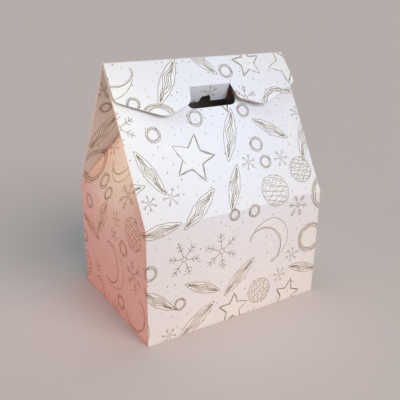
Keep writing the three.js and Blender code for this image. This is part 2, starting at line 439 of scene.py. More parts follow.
def applied(piece: bpy.types.Object) -> bpy.types.Object:
    """Turn a piece with modifiers into a plain mesh, so that no modifier is left on it.

    Args:
        piece: The piece, a mesh with modifiers.

    Returns:
        The same piece, with what the modifiers made as its mesh.
    """
    graph = bpy.context.evaluated_depsgraph_get()
    mesh = bpy.data.meshes.new_from_object(piece.evaluated_get(graph))
    old = piece.data
    piece.modifiers.clear()
    piece.data = mesh
    bpy.data.meshes.remove(old)
    return piece


def thicken(piece: bpy.types.Object, board: float) -> bpy.types.Object:
    """Give a sheet its thickness of card, inwards from the printed face.

    Args:
        piece: The sheet, with its printed face outwards.
        board: Thickness of the card in millimetres.

    Returns:
        The piece, as a plain mesh with its cut edges closed.
    """
    wall = piece.modifiers.new("card", "SOLIDIFY")
    wall.thickness = board * MM
    wall.offset = -1.0
    wall.use_even_offset = True
    wall.use_rim = True
    wall.material_offset = CardFace.PLAIN.value
    wall.material_offset_rim = CardFace.CUT.value
    return applied(piece)


@dataclass
class CardStock:
    """The materials that every piece of the carton shares."""

    coated: bpy.types.Material = field(default_factory=COATED_CARD.make)
    plain: bpy.types.Material = field(default_factory=PLAIN_CARD.make)
    cut: bpy.types.Material = field(default_factory=CUT_CARD.make)
    line: bpy.types.Material = field(default_factory=LINE_INK.make)
    wash: bpy.types.Material = field(default_factory=WASH_INK.make)

    def faces(self) -> list[bpy.types.Material]:
        """List the materials in the order of CardFace."""
        return [self.coated, self.plain, self.cut]


class SheetMaker:
    """Collects flat facets of card, joins their common corners and softens their creases.

    Corners on the same hundredth of a millimetre are one corner.
    """

    steps_per_mm = 100

    def __init__(self) -> None:
        """Start an empty sheet."""
        self.mesh = bmesh.new()
        self.known: dict[tuple[int, ...], bmesh.types.BMVert] = {}

    def corner(self, place: Vector) -> bmesh.types.BMVert:
        """Find or add one corner.

        Args:
            place: Its place in millimetres.

        Returns:
            The sheet's corner there.
        """
        key = tuple(round(part * self.steps_per_mm) for part in place)
        if key not in self.known:
            self.known[key] = self.mesh.verts.new(place * MM)
        return self.known[key]

    def facet(self, places: list[Vector]) -> None:
        """Add one flat facet, anticlockwise seen from the printed side, in millimetres."""
        self.mesh.faces.new([self.corner(p) for p in places])

    def fill(self, rings: list[list[Vector]], outward: Vector) -> None:
        """Fill a flat area that has holes or inward corners with triangles.

        Args:
            rings: Its outline and those of its holes, in millimetres.
            outward: The way that its printed side faces.
        """
        flat = [p for ring in rings for p in ring]
        for a, b, c in tessellate_polygon(rings):
            turn = (flat[b] - flat[a]).cross(flat[c] - flat[a])
            order = (a, b, c) if turn.dot(outward) > 0 else (a, c, b)
            self.mesh.faces.new([self.corner(flat[i]) for i in order])

    def finish(
        self, name: str, stock: CardStock, board: float, crease: float, least_turn: float = 20.0
    ) -> bpy.types.Object:
        """Round the creases, give the sheet its thickness and return the piece.

        Args:
            name: The piece's name.
            stock: The card's materials.
            board: Thickness of the card in millimetres.
            crease: Width of the rounding at each crease in millimetres.
            least_turn: Smallest turn, in degrees, that counts as a crease.

        Returns:
            The finished piece.
        """
        self.mesh.edges.ensure_lookup_table()
        folds = [
            e for e in self.mesh.edges
            if len(e.link_faces) == 2 and e.calc_face_angle(0.0) > math.radians(least_turn)
        ]
        bmesh.ops.bevel(
            self.mesh, geom=folds, offset=crease * MM, segments=3, profile=0.5,
            affect="EDGES", clamp_overlap=False,
        )
        data = bpy.data.meshes.new(name)
        self.mesh.to_mesh(data)
        self.mesh.free()
        for material in stock.faces():
            data.materials.append(material)
        piece = bpy.data.objects.new(name, data)
        bpy.context.scene.collection.objects.link(piece)
        return softened(thicken(piece, board))


def softened(piece: bpy.types.Object, degrees: float = 18.0) -> bpy.types.Object:
    """Shade folds and curves smooth, and keep flat panels flat and sharper edges crisp.

    Args:
        piece: The piece, a plain mesh.
        degrees: Edges that turn more than this stay sharp.

    Returns:
        The piece, with the large faces' own normals.
    """
    piece.data.shade_smooth()
    piece.data.set_sharp_from_angle(angle=math.radians(degrees))
    weighted = piece.modifiers.new("flat_panels", "WEIGHTED_NORMAL")
    weighted.mode = "FACE_AREA"
    weighted.weight = 100
    weighted.keep_sharp = True
    return applied(piece)


@dataclass
class CartonShell:
    """Walls, roof panels, gusseted ends, base flaps and seam: everything that stays with the base.

    Its own sizes are in millimetres, and the smallest turn of a ramp's crease in degrees.
    """

    box: Box
    stock: CardStock
    crease: float = 0.45
    flank_top: float = 290.5
    ramp: float = 7.0
    end_gap: float = 0.6
    rear_reach: float = 106.0
    rear_taper: float = 9.0
    side_reach: float = 62.0
    side_taper: float = 44.0
    front_reach: float = 88.0
    front_taper: float = 14.0
    fold_inset: float = 0.1
    least_ramp: float = 5.0
    tab_half: float = 44.0
    tab_length: float = 30.0
    tab_ramp: float = 9.0
    tab_radius: float = 12.0
    tab_side_gap: float = 8.0
    tab_end_gap: float = 9.0
    seam_width: float = 15.0
    seam_taper: float = 6.0
    seam_end_gap: float = 5.0
    glue: float = 0.02
    rear_top_gap: float = 0.2

    def roof_point(self, x: float, up: float, out: float, front: bool) -> Vector:
        """Find a point on a roof panel.

        Args:
            x: Its place across the panel.
            up: Its distance up the slope from the shoulder.
            out: Its height off the outer face.
            front: Whether it is on the front panel.

        Returns:
            The point in millimetres.
        """
        lean = self.box.front_lean if front else self.box.lean
        side = -1 if front else 1
        reach = self.box.half_depth - up * math.sin(lean) + out * math.cos(lean)
        return Vector((x, side * reach, self.box.shoulder + up * math.cos(lean) + out * math.sin(lean)))

    def hole(self) -> Polygon:
        """Draw the hand hole.

        Returns:
            Its outline, as x and distance up the slope, anticlockwise.
        """
        b = self.box
        half, middle = b.hole_half, b.slope - b.hole_middle
        bottom, top = b.slope - b.hole_bottom, b.slope - b.hole_top
        low = rounded([
            (-half, middle), (-half, bottom, b.hole_bottom_radius),
            (half, bottom, b.hole_bottom_radius), (half, middle),
        ])
        high = rounded([
            (half, middle), (half, top, b.hole_top_radius),
            (-half, top, b.hole_top_radius), (-half, middle),
        ])
        return low + high[1:-1]

    def roof(self, sheet: SheetMaker, front: bool, top: float) -> None:
        """Add a roof panel with its hand hole.

        Args:
            sheet: The sheet that gets the panel.
            front: Whether it is the front panel.
            top: Length of the panel up its slope.
        """
        w = self.box.half_width
        outline = [(-w, 0.0), (w, 0.0), (w, top), (-w, top)]
        order = outline if front else outline[::-1]
        panel, hole = (
            [self.roof_point(x, up, 0.0, front) for x, up in line] for line in (order, self.hole())
        )
        sheet.fill([panel, hole], (panel[1] - panel[0]).cross(panel[2] - panel[1]))

    def end(self, sheet: SheetMaker, side: int, tops: dict[bool, float]) -> None:
        """Add one gusseted end: its triangle, its two flanks and the folds at the roof's edges.

        Args:
            sheet: The sheet that gets the facets.
            side: -1 for the left end and 1 for the right one.
            tops: Length of the front and the rear roof panel up their slopes.
        """
        b = self.box
        edge = side * b.half_width
        rise = self.flank_top - b.shoulder
        fold_x = side * (b.half_width - rise * math.tan(b.lean))
        gusset: list[Vector] = []
        for front in (True, False):
            lean = b.front_lean if front else b.lean
            sign = -1 if front else 1
            foot_y = sign * (b.half_depth - b.fold_depth / math.cos(lean))
            top_y = foot_y - sign * rise * math.tan(lean)
            foot = Vector((edge, foot_y, b.shoulder))
            high = Vector((edge, top_y, self.flank_top))
            deep = Vector((fold_x, top_y, self.flank_top))
            corner = self.roof_point(edge, 0.0, 0.0, front)
            top = self.roof_point(edge, tops[front], 0.0, front)
            strip = [corner, top, high, foot]
            flank = [foot, high, deep]
            flip = (side < 0) != front
            sheet.facet(strip[::-1] if flip else strip)
            sheet.facet(flank[::-1] if flip else flank)
            gusset += [foot, deep] if front else [deep, foot]
        sheet.facet(gusset[::-1] if side > 0 else gusset)

    def walls(self, sheet: SheetMaker) -> None:
        """Add the four walls, with the corners that the ends share.

        Args:
            sheet: The sheet that gets the walls.
        """
        b = self.box
        w, d, h = b.half_width, b.half_depth, b.shoulder
        foot = {f: b.fold_depth / math.cos(b.front_lean if f else b.lean) for f in (True, False)}
        for s in (-1, 1):
            sheet.facet([Vector(p) for p in (
                (s * w, s * d, 0), (-s * w, s * d, 0), (-s * w, s * d, h), (s * w, s * d, h),
            )])
        tops = [d, d - foot[False], -d + foot[True], -d]
        for s, order in ((1, tops), (-1, tops[::-1])):
            foot_line = [Vector((s * w, -s * d, 0)), Vector((s * w, s * d, 0))]
            sheet.facet(foot_line + [Vector((s * w, y, h)) for y in order])

    def base_layer(self, n: int) -> float:
        """Find the height of the underside of a layer of the base."""
        return n * (self.box.board + self.box.layer_gap)

    def base(self) -> list[bpy.types.Object]:
        """Make the four flaps of the snap-lock base.

        Returns:
            The rear, left, right and front flap.
        """
        b = self.box
        w = b.half_width - b.board - self.end_gap
        d = b.half_depth - b.board - self.end_gap
        z1, z2, z3 = (self.base_layer(n) for n in (1, 2, 3))
        y0 = b.half_depth - self.fold_inset
        front_end = self.front_reach - b.half_depth
        cut_top = front_end + self.tab_ramp + self.tab_end_gap
        cut = self.tab_half + self.tab_side_gap
        rear_end = b.half_depth - self.rear_reach
        pieces = []
        rear = SheetMaker()
        line = y0 - self.ramp
        rear.facet([Vector(p) for p in ((-w, y0, 0), (w, y0, 0), (w, line, z2), (-w, line, z2))])
        taper = self.rear_taper
        rear.facet([Vector((x, y, z2)) for x, y in (
            (-w, line), (w, line), (w - taper, rear_end), (cut, rear_end),
            (cut - taper / 2, cut_top), (-cut + taper / 2, cut_top), (-cut, rear_end),
            (-w + taper, rear_end),
        )])
        pieces.append(rear.finish("base_flap_rear", self.stock, b.board, self.crease, self.least_ramp))
        for side, name in ((-1, "base_flap_left"), (1, "base_flap_right")):
            flap = SheetMaker()
            x0 = side * (b.half_width - self.fold_inset)
            x1 = x0 - side * self.ramp
            x2 = side * (b.half_width - self.side_reach)
            half = d - self.side_taper
            slope = [Vector(p) for p in ((x0, -d, 0), (x0, d, 0), (x1, d, z1), (x1, -d, z1))]
            flat = [Vector((x, y, z1)) for x, y in ((x1, -d), (x1, d), (x2, half), (x2, -half))]
            flap.facet(slope if side < 0 else slope[::-1])
            flap.facet(flat if side < 0 else flat[::-1])
            pieces.append(flap.finish(name, self.stock, b.board, self.crease, self.least_ramp))
        front = SheetMaker()
        t = self.tab_half
        ramp_end = front_end + self.tab_ramp
        front.facet([Vector((x, y, 0)) for x, y in (
            (w, -y0), (-w, -y0), (-w + self.front_taper, front_end), (-t, front_end),
            (t, front_end), (w - self.front_taper, front_end),
        )])
        front.facet([Vector(p) for p in (
            (t, front_end, 0), (-t, front_end, 0), (-t, ramp_end, z3), (t, ramp_end, z3),
        )])
        tip = front_end + self.tab_length
        radius = self.tab_radius
        tab = rounded([(t, ramp_end), (t, tip, radius), (-t, tip, radius), (-t, ramp_end)])
        front.facet([Vector((x, y, z3)) for x, y in tab][::-1])
        pieces.append(front.finish("base_flap_front", self.stock, b.board, self.crease, self.least_ramp))
        return pieces

    def seam(self) -> bpy.types.Object:
        """Make the glued strip inside the rear left corner.

        Returns:
            The strip.
        """
        b = self.box
        y = b.half_depth - b.board - self.glue
        x0 = -b.half_width + b.board
        x1 = x0 + self.seam_width
        low = self.base_layer(3) + b.board + self.seam_end_gap
        high = b.shoulder - self.seam_end_gap
        strip = SheetMaker()
        strip.facet([Vector((x, y, z)) for x, z in (
            (x0, low), (x0, high), (x1, high - self.seam_taper), (x1, low + self.seam_taper),
        )])
        return strip.finish("glued_seam", self.stock, b.board, self.crease)

    def build(self) -> list[bpy.types.Object]:
        """Build every piece that stays with the base.

        Returns:
            The folded sheet first, then the base flaps and the seam.
        """
        b = self.box
        sheet = SheetMaker()
        tops = {True: b.slope - b.front_top_gap, False: b.slope - self.rear_top_gap}
        self.walls(sheet)
        for front in (True, False):
            self.roof(sheet, front, tops[front])
        for side in (-1, 1):
            self.end(sheet, side, tops)
        shell = sheet.finish("carton_folded_sheet", self.stock, b.board, self.crease)
        return [shell, *self.base(), self.seam()]


@dataclass
class ClosingFlap:
    """The flap that comes over the ridge, with two lobes beside the tongue's cut-out.

    The width of its columns and its gap to the ridge are in millimetres.
    """

    box: Box
    stock: CardStock
    column: float = 5.0
    rows: int = 14
    ridge_gap: float = 0.05

    def place(self, x: float, down: float, out: float) -> Vector:
        """Find a point on the flap.

        Args:
            x: Its place across the flap.
            down: Its distance down from the ridge.
            out: Its height off the outer face.

        Returns:
            The point in millimetres.
        """
        lean = self.box.flap_lean(x)
        y = -down * math.sin(lean) - out * math.cos(lean)
        return Vector((x, y, self.box.ridge - down * math.cos(lean) + out * math.sin(lean)))

    def edge(self) -> Polygon:
        """Draw the free edge.

        Returns:
            Its points from left to right, as x and distance down from the ridge.
        """
        b = self.box
        half = b.half_width - b.flap_inset
        right = rounded([
            (b.tongue_fold_half + b.cut_gap, b.tongue_drop),
            (b.tongue_end_half + b.cut_gap + b.inner_spread, b.inner_drop, b.inner_radius),
            (b.tip_offset, b.tip_drop, b.tip_radius),
            (half, b.corner_drop, b.corner_radius),
            (half, b.corner_drop - 2 * b.corner_radius),
        ])[:-1]
        line = [(-x, y) for x, y in reversed(right)] + right
        full: Polygon = []
        for i, (x, y) in enumerate(line):
            full.append((x, y))
            if i + 1 == len(line):
                break
            nx, ny = line[i + 1]
            steps = max(1, math.ceil((nx - x) / self.column))
            full += [(x + (nx - x) * k / steps, y + (ny - y) * k / steps) for k in range(1, steps)]
        return full

    def build(self) -> bpy.types.Object:
        """Build the flap as a grid of columns between the ridge and the free edge.

        Returns:
            The flap.
        """
        edge = self.edge()
        top = self.ridge_gap
        points: list[Vector] = []
        for x, y in edge:
            points += [
                self.place(x, top + (y - top) * r / self.rows, 0.0) * MM for r in range(self.rows + 1)
            ]
        n = self.rows + 1
        faces = [
            (c * n + r, c * n + r + 1, (c + 1) * n + r + 1, (c + 1) * n + r)
            for c in range(len(edge) - 1) for r in range(self.rows)
        ]
        piece = mesh_object("closing_flap_card", points, faces, self.stock.faces())
        return softened(thicken(piece, self.box.board))


@dataclass
class LockingTongue:
    """The tongue that folds in through the hand hole, with its thumb notch.

    Its gap and its crease are in millimetres, and the smallest turn of a crease in degrees.
    """

    box: Box
    stock: CardStock
    gap: float = 0.05
    crease: float = 0.1
    least_turn: float = 60.0
    corner_steps: int = 5
    notch_steps: int = 18

    def place(self, x: float, down: float, out: float) -> Vector:
        """Find a point on the tongue.

        Args:
            x: Its place across the tongue.
            down: Its distance down from the tongue's own crease.
            out: Its height off the outer face.

        Returns:
            The point in millimetres.
        """
        b = self.box
        lean = b.lean + math.radians(b.lift_middle)
        turned = lean - math.radians(b.tongue_turn)
        y = -b.tongue_drop * math.sin(lean) - down * math.sin(turned) - out * math.cos(turned)
        z = b.ridge - b.tongue_drop * math.cos(lean) - down * math.cos(turned) + out * math.sin(turned)
        return Vector((x, y, z))

    def lower_edge(self) -> Polygon:
        """Draw the free edge.

        Returns:
            Its points from left to right, as x and distance down from the crease.
        """
        b = self.box
        left = rounded([
            (-b.tongue_fold_half, 0.0), (-b.tongue_end_half, b.tongue_length, b.tongue_corner),
            (-b.notch_radius, b.tongue_length),
        ], self.corner_steps)
        angles = [math.pi * k / self.notch_steps for k in range(1, self.notch_steps)]
        notch = [
            (-b.notch_radius * math.cos(a), b.tongue_length - b.notch_depth * math.sin(a))
            for a in angles
        ]
        return left + notch + [(-x, y) for x, y in reversed(left)]

    def build(self) -> bpy.types.Object:
        """Build the tongue as one flat facet.

        Returns:
            The tongue.
        """
        sheet = SheetMaker()
        outline = [self.place(x, max(y, self.gap), 0.0) for x, y in self.lower_edge()]
        sheet.fill([outline], self.place(0, 0, 1) - self.place(0, 0, 0))
        return sheet.finish(
            "locking_tongue_card", self.stock, self.box.board, self.crease, self.least_turn
        )


class Motif(Enum):
    """The kinds of drawing in the print, with the range of their radius in millimetres.

    MotifPen has a method of the same name for each.
    """

    RING = (15.0, 26.0)
    STAR = (21.0, 29.0)
    CRESCENT = (18.0, 30.0)
    SPINDLE = (25.0, 34.0)
    SNOWFLAKE = (15.0, 25.0)
    DISC = (15.0, 20.0)
    SMALL_RING = (7.0, 10.0)
    SPRIG = (8.0, 10.0)


@dataclass
class Drawing:
    """One drawing at a radius of one: the strokes of its lines and the quads of its wash."""

    strokes: list[list[Point2]]
    wash: list[Polygon]


@dataclass
class Spot:
    """One drawing's place on the unfolded sheet, its number, its turn and its radius in millimetres."""

    u: float
    v: float
    number: int
    turn: float
    size: float


def fan(ring: list[Point2]) -> list[Polygon]:
    """Fill an outline round the middle with triangles."""
    return [[(0.0, 0.0), p, ring[(i + 1) % len(ring)]] for i, p in enumerate(ring)]


def band(one: list[Point2], other: list[Point2]) -> list[Polygon]:
    """Fill the strip between two lines of equally many points with quads."""
    return [[one[i], one[i + 1], other[i + 1], other[i]] for i in range(len(one) - 1)]


@dataclass
class MotifPen:
    """Draws each kind of motif at a radius of one, with the small wobble of a hand."""

    seed: int
    wobble: float = 0.022
    slow: float = 0.6
    fast: float = 0.4
    waves: tuple[int, int, int, int] = (3, 7, 4, 9)

    def __post_init__(self) -> None:
        """Start the pen's own random numbers."""
        self.random = random.Random(self.seed)

    def shaken(self, line: list[Point2], much: float = 1.0) -> list[Point2]:
        """Shift a line's points a little, in slow and fast waves along the line.

        Args:
            line: The points.
            much: How far, against the pen's own wobble.

        Returns:
            The shifted points.
        """
        phases = [self.random.uniform(0, math.tau) for _ in self.waves]
        amount = self.wobble * much
        out = []
        for i, (x, y) in enumerate(line):
            t = i / max(1, len(line) - 1) * math.tau
            slow_x, fast_x, slow_y, fast_y = (math.sin(n * t + p) for n, p in zip(self.waves, phases))
            dx = slow_x * self.slow + fast_x * self.fast
            dy = slow_y * self.slow + fast_y * self.fast
            out.append((x + dx * amount, y + dy * amount))
        return out

    def circle(self, radius: float, steps: int = 30, squash: float = 1.0) -> list[Point2]:
        """Draw a closed circle, a little past its start."""
        turns = [math.tau * k / steps for k in range(steps + 2)]
        return [(radius * math.cos(a), radius * squash * math.sin(a)) for a in turns]

    def star_outline(self, tip: float, dip: float, tips: int = 5, steps: int = 4) -> list[Point2]:
        """Draw one outline of a star.

        Args:
            tip: Radius at its tips.
            dip: Radius between them.
            tips: Number of tips.
            steps: Points on each edge.

        Returns:
            The outline, which ends where it starts.
        """
        corners = []
        for k in range(2 * tips + 1):
            a = math.pi * k / tips + math.pi / 2
            r = dip if k % 2 else tip
            corners.append((r * math.cos(a), r * math.sin(a)))
        line = []
        for (x0, y0), (x1, y1) in zip(corners, corners[1:]):
            line += [(x0 + (x1 - x0) * t / steps, y0 + (y1 - y0) * t / steps) for t in range(steps)]
        return line + [corners[-1]]

    def star(self) -> Drawing:
        """Draw a five-pointed star in one full and two loose outlines.

        Returns:
            The drawing.
        """
        main = self.shaken(self.star_outline(0.97, 0.47))
        wide, slim = (self.shaken(self.star_outline(*r), 1.5) for r in ((1.0, 0.44), (0.93, 0.45)))
        return Drawing([main, wide[2:37], slim[6:34]], fan(main[:-1]))

    def crescent(self) -> Drawing:
        """Draw a crescent moon with a second line along its inner curve.

        Returns:
            The drawing.
        """
        span, depth, blunt, steps = 2.2, 0.42, 0.7, 24
        outer, inner, line = [], [], []
        for k in range(steps + 1):
            t = -1 + 2 * k / steps
            a, swell = math.pi + t * span, math.cos(t * math.pi / 2)
            x, y, reach = math.cos(a), math.sin(a), depth * swell ** blunt
            outer.append((x, y))
            for curve, share, pinch in ((inner, 1.25, 0.12), (line, 1.12, 0.1)):
                curve.append((x + reach * share, y * (1 - pinch * swell)))
        outer, inner = self.shaken(outer), self.shaken(inner)
        return Drawing([outer, inner, self.shaken(line)[4:21]], band(outer, inner))

    def ring(self) -> Drawing:
        """Draw a hoop of several loose turns, each with its radius, squash and wobble."""
        turns = [self.shaken(self.circle(r, squash=s), m) for r, s, m in (
            (1.0, 0.97, 1.6), (0.93, 0.95, 2.4), (0.88, 0.99, 1.4), (0.8, 0.96, 2.0), (0.74, 0.98, 1.2),
        )]
        return Drawing(turns, fan(self.circle(0.98)[:-2]))

    def small_ring(self) -> Drawing:
        """Draw a small hoop of three heavy turns."""
        turns = [self.shaken(self.circle(r, 18), m) for r, m in ((1.0, 2.5), (0.84, 3.0), (0.72, 2.0))]
        return Drawing(turns, [])

    def spindle(self) -> Drawing:
        """Draw a slim leaf shape filled with loose loops along its length.

        Returns:
            The drawing.
        """
        steps, plump, blunt = 22, 0.25, 0.8
        loop_length, loop_plump, ripple = 0.86, 0.2, 0.3
        xs = [-1 + 2 * k / steps for k in range(steps + 1)]
        top = [(x, plump * math.cos(x * math.pi / 2) ** blunt) for x in xs]
        low = [(x, -y) for x, y in top]
        lines = [self.shaken(top, 0.6), self.shaken(low, 0.6)]
        for share, beat in ((0.62, 5.0), (0.3, 9.0), (0.0, 7.0), (-0.35, 8.0), (-0.7, 6.0)):
            lines.append([
                (x * loop_length,
                 loop_plump * math.cos(x * math.pi / 2) * (share + ripple * math.sin(beat * x + share)))
                for x in xs
            ])
        return Drawing(lines, band(low, top))

    def snowflake(self) -> Drawing:
        """Draw six branched arms round a small open centre.

        Returns:
            The drawing.
        """
        arms, tilt, centre, branch_turn = 6, 0.2, 0.13, 0.85
        lines: list[list[Point2]] = [self.circle(centre, 9)]
        for k in range(arms):
            a = math.tau * k / arms + tilt
            ux, uy = math.cos(a), math.sin(a)
            reach = self.random.uniform(0.88, 1.0)
            arm = [(ux * r * reach, uy * r * reach) for r in (centre, 0.4, 0.7, 1.0)]
            lines.append(self.shaken(arm, 0.8))
            for along, length in ((0.5, 0.26), (0.74, 0.22)):
                x, y = ux * along * reach, uy * along * reach
                for turn in (-branch_turn, branch_turn):
                    size = length * self.random.uniform(0.8, 1.1)
                    tip = (x + math.cos(a + turn) * size, y + math.sin(a + turn) * size)
                    lines.append([(x, y), tip])
        return Drawing(lines, [])

    def sprig(self) -> Drawing:
        """Draw a small crossed star of six strokes with knobbed ends.

        Returns:
            The drawing.
        """
        stroke, knob, knob_at = (0.12, 0.8), 0.13, 0.88
        angles = [math.tau * k / 6 for k in range(7)]
        lines: list[list[Point2]] = []
        for a in angles[:-1]:
            x, y = math.cos(a), math.sin(a)
            lines.append([(x * r, y * r) for r in stroke])
            x, y = x * knob_at, y * knob_at
            lines.append([(x + knob * math.cos(b), y + knob * math.sin(b)) for b in angles])
        return Drawing(lines, [])

    def disc(self) -> Drawing:
        """Draw a round shape filled with wandering contour lines.

        Returns:
            The drawing.
        """
        inset, wave, ripple, steps = 0.93, 0.07, 0.05, 18
        lines = [self.shaken(self.circle(1.0), 1.2)]
        for level in (-0.8, -0.6, -0.42, -0.24, -0.06, 0.12, 0.3, 0.48, 0.66, 0.82):
            half = math.sqrt(1 - level * level) * inset
            phase = self.random.uniform(0, math.tau)
            lines.append([
                (half * t, level + wave * math.sin(6 * t + phase) + ripple * math.sin(13 * t + phase * 2))
                for t in (-1 + 2 * k / steps for k in range(steps + 1))
            ])
        return Drawing(lines, fan(self.circle(0.98)[:-2]))

    def draw(self, motif: Motif) -> Drawing:
        """Draw one motif."""
        return getattr(self, motif.name.lower())()


@dataclass
class PrintRegion:
    """A part of the unfolded sheet, as convex cells, with the way that it is folded into place."""

    cells: list[Polygon]
    fold: Place


def print_tree(name: str, inputs: dict[str, str]) -> tuple[bpy.types.NodeTree, bpy.types.NodeOutputs]:
    """Start a node tree that makes print.

    Args:
        name: Name of the tree.
        inputs: Kinds of its inputs, by their names.

    Returns:
        The tree and the sockets that give its inputs.
    """
    tree = bpy.data.node_groups.new(name, "GeometryNodeTree")
    for label, kind in inputs.items():
        tree.interface.new_socket(label, in_out="INPUT", socket_type=f"NodeSocket{kind}")
    tree.interface.new_socket("Print", in_out="OUTPUT", socket_type="NodeSocketGeometry")
    return tree, add_node(tree, "NodeGroupInput").outputs


def finish_tree(
    tree: bpy.types.NodeTree, made: bpy.types.NodeSocket, ink: bpy.types.NodeSocket
) -> bpy.types.NodeTree:
    """Give a tree's print its ink and lead it to the output.

    Args:
        tree: The tree.
        made: The socket with the print, as real geometry.
        ink: The socket with the ink.

    Returns:
        The tree.
    """
    inked = add_node(tree, "GeometryNodeSetMaterial", None, {"Geometry": made, "Material": ink})
    add_node(tree, "NodeGroupOutput", None, {"Print": inked.outputs["Geometry"]})
    return tree


@dataclass
class PrintLayout:
    """Places the drawings on the unfolded sheet and turns them into ink.

    Its sizes are in millimetres, the specks' least and most are shares of their radius, and their
    density is the most that may fall on a square metre.
    """

    seed: int = 58
    width: float = 840.0
    height: float = 392.0
    variants: int = 2
    gap: float = 4.0
    tries: int = 150
    line_width: float = 0.6
    speck_spacing: float = 6.5
    speck_radius: float = 0.6
    speck_least: float = 0.3
    speck_most: float = 1.5
    speck_density: float = 9000.0
    small_radius: float = 11.0
    pen_seed: int = 100
    pen_seed_step: int = 7

    def order(self) -> list[tuple[Motif, int, float]]:
        """List how many of each motif the sheet may get, and how much of its radius others keep off.

        Returns:
            The motifs from the largest to the smallest, with their number and that share.
        """
        m = Motif
        return [
            (m.RING, 16, 1.0), (m.STAR, 26, 0.86), (m.CRESCENT, 30, 1.0), (m.SPINDLE, 44, 0.66),
            (m.SNOWFLAKE, 28, 0.95), (m.DISC, 20, 1.0), (m.SMALL_RING, 60, 1.0), (m.SPRIG, 60, 1.0),
        ]

    def spots(self) -> list[Spot]:
        """Work out where each drawing goes, so that none touches another.

        Returns:
            The spots of all drawings that find room.
        """
        rng = random.Random(self.seed)
        kinds = list(Motif)
        queue: list[tuple[float, float, int, float]] = []
        for motif, count, share in self.order():
            for _ in range(count):
                radius = rng.uniform(*motif.value)
                number = kinds.index(motif) * self.variants + rng.randrange(self.variants)
                queue.append((radius, radius * share, number, rng.uniform(0, math.tau)))
        large = [q for q in queue if q[0] > self.small_radius]
        small = [q for q in queue if q[0] <= self.small_radius]
        rng.shuffle(large)
        rng.shuffle(small)
        taken: list[tuple[float, float, float]] = []
        spots = []
        for radius, room, number, turn in large + small:
            for _ in range(self.tries):
                u, v = rng.uniform(0, self.width), rng.uniform(0, self.height)
                if all(math.hypot(u - x, v - y) > room + keep + self.gap for x, y, keep in taken):
                    taken.append((u, v, room))
                    spots.append(Spot(u, v, number, turn, radius))
                    break
        return spots

    def ink_tree(self, name: str, ribbons: bool) -> bpy.types.NodeTree:
        """Build the node tree that sets one drawing on each spot.

        Args:
            name: Name of the tree.
            ribbons: Whether the drawings are lines that become flat ribbons, or flat washes.

        Returns:
            The tree, which ends in Realize Instances and Set Material.
        """
        tree, given = print_tree(name, {
            "Spots": "Geometry", "Drawings": "Collection", "Line width": "Float", "Ink": "Material",
        })
        drawings = add_node(
            tree, "GeometryNodeCollectionInfo",
            {"Separate Children": True, "Reset Children": True}, {"Collection": given["Drawings"]},
        )
        number, turn, size = (
            add_node(
                tree, "GeometryNodeInputNamedAttribute", {"data_type": kind, "Name": label}
            ).outputs["Attribute"]
            for label, kind in self.spot_facts()
        )
        angle = add_node(tree, "ShaderNodeCombineXYZ", None, {"Z": turn})
        placed = add_node(
            tree, "GeometryNodeInstanceOnPoints", {"Pick Instance": True},
            {
                "Points": given["Spots"], "Instance": drawings.outputs["Instances"],
                "Instance Index": number, "Rotation": angle.outputs["Vector"], "Scale": size,
            },
        )
        real = add_node(
            tree, "GeometryNodeRealizeInstances", None, {"Geometry": placed.outputs["Instances"]}
        )
        made = real.outputs["Geometry"]
        if ribbons:
            ends = {}
            for label, share in (("Start", -0.5), ("End", 0.5)):
                half = add_node(
                    tree, "ShaderNodeMath", {"operation": "MULTIPLY", 1: share}, {0: given["Line width"]}
                )
                end = add_node(tree, "ShaderNodeCombineXYZ", None, {"X": half.outputs[0]})
                ends[label] = end.outputs[0]
            nib = add_node(tree, "GeometryNodeCurvePrimitiveLine", None, ends)
            flat = add_node(tree, "GeometryNodeSetCurveNormal", {"mode": "Z_UP"}, {"Curve": made})
            ribbon = add_node(
                tree, "GeometryNodeCurveToMesh", None,
                {"Curve": flat.outputs["Curve"], "Profile Curve": nib.outputs["Curve"]},
            )
            made = ribbon.outputs["Mesh"]
        return finish_tree(tree, made, given["Ink"])

    def speck_tree(self) -> bpy.types.NodeTree:
        """Build the node tree that strews fine specks over the unfolded sheet.

        Returns:
            The tree, which ends in Realize Instances and Set Material.
        """
        tree, given = print_tree("print_specks", {
            "Sheet": "Geometry", "Spacing": "Float", "Speck radius": "Float", "Seed": "Int",
            "Ink": "Material",
        })
        strewn = add_node(
            tree, "GeometryNodeDistributePointsOnFaces",
            {"distribute_method": "POISSON", "Density Max": self.speck_density},
            {"Mesh": given["Sheet"], "Distance Min": given["Spacing"], "Seed": given["Seed"]},
        )
        speck = add_node(
            tree, "GeometryNodeMeshCircle", {"fill_type": "NGON", "Vertices": 6},
            {"Radius": given["Speck radius"]},
        )
        size = add_node(
            tree, "FunctionNodeRandomValue",
            {"data_type": "FLOAT", 2: self.speck_least, 3: self.speck_most}, {"Seed": given["Seed"]},
        )
        placed = add_node(
            tree, "GeometryNodeInstanceOnPoints", None,
            {"Points": strewn.outputs["Points"], "Instance": speck.outputs["Mesh"],
             "Scale": size.outputs[1]},
        )
        real = add_node(
            tree, "GeometryNodeRealizeInstances", None, {"Geometry": placed.outputs["Instances"]}
        )
        return finish_tree(tree, real.outputs["Geometry"], given["Ink"])

